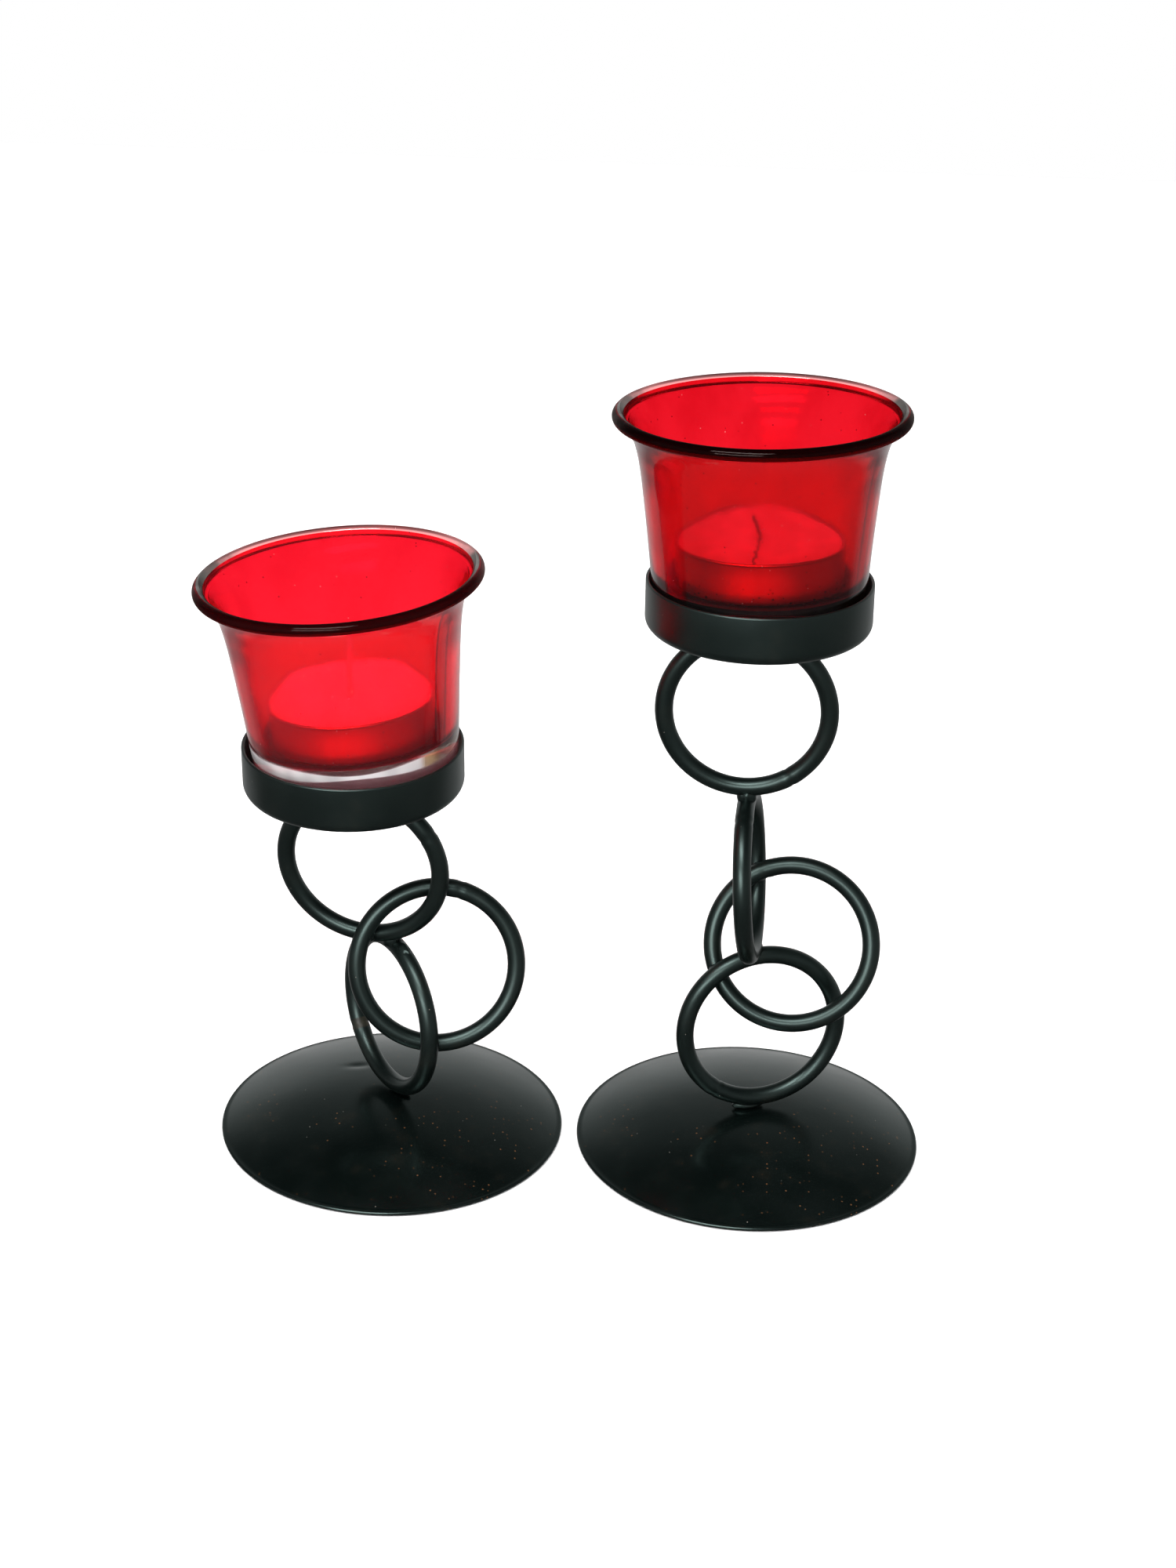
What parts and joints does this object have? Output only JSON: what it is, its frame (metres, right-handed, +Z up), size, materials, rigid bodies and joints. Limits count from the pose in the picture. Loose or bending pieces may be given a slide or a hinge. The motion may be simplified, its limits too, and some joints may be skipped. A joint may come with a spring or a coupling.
{
  "type": "votive candle holder pair",
  "caption": "Tall and short free-standing votive holders: black dome bases, stems of welded wire rings, shallow pans, flared red glass cups and tealights.",
  "frame": {"origin": "on the table, at the middle of the pair's footprint box", "axes": "+Z up from the table; +X from the short holder to the tall one; +Y away from the viewer in front"},
  "size_m": [0.1702, 0.082, 0.1864],
  "materials": {
    "black_paint": "satin black paint with a slight green-blue cast on steel",
    "red_glass": "clear pressed glass with a transparent red film on the inside",
    "foil": "thin bright aluminium",
    "wax": "white paraffin wax, soft sheen",
    "wick_cotton": "waxed cotton cord"
  },
  "bodies": {
    "tall_holder": {"tall_base_disc": "black_paint", "tall_ring_1_foot": "black_paint", "tall_ring_2_leaning": "black_paint", "tall_ring_3_edge_on": "black_paint", "tall_ring_4_top": "black_paint", "tall_weld_base": "black_paint", "tall_weld_rings_1_2": "black_paint", "tall_weld_rings_1_3": "black_paint", "tall_weld_rings_2_3": "black_paint", "tall_weld_rings_3_4": "black_paint", "tall_weld_pan": "black_paint", "tall_pan": "black_paint"},
    "short_holder": {"short_base_disc": "black_paint", "short_ring_1_foot": "black_paint", "short_ring_2_front": "black_paint", "short_ring_3_top": "black_paint", "short_weld_base": "black_paint", "short_weld_rings_1_2": "black_paint", "short_weld_rings_1_3": "black_paint", "short_weld_rings_2_3": "black_paint", "short_weld_pan": "black_paint", "short_pan": "black_paint"},
    "tall_glass": {"tall_glass_cup": "red_glass"},
    "short_glass": {"short_glass_cup": "red_glass"},
    "tall_tealight": {"tall_tealight_foil_cup": "foil", "tall_tealight_wax": "wax", "tall_tealight_wick": "wick_cotton"},
    "short_tealight": {"short_tealight_foil_cup": "foil", "short_tealight_wax": "wax", "short_tealight_wick": "wick_cotton"}
  },
  "joints": [
    {"name": "short_holder_apart", "type": "slide", "parent": "tall_holder", "child": "short_holder", "axis": [-1, 0, 0], "range_m": [0, 0.12]},
    {"name": "tall_glass_lift", "type": "slide", "parent": "tall_holder", "child": "tall_glass", "axis": [-0.0309, 0.0539, 0.9981], "range_m": [0, 0.08]},
    {"name": "short_glass_lift", "type": "slide", "parent": "short_holder", "child": "short_glass", "axis": [-0.0876, 0.0179, 0.996], "range_m": [0, 0.08]},
    {"name": "tall_tealight_lift", "type": "slide", "parent": "tall_glass", "child": "tall_tealight", "axis": [-0.0309, 0.0539, 0.9981], "range_m": [0, 0.07]},
    {"name": "short_tealight_lift", "type": "slide", "parent": "short_glass", "child": "short_tealight", "axis": [-0.0876, 0.0179, 0.996], "range_m": [0, 0.07]}
  ]
}
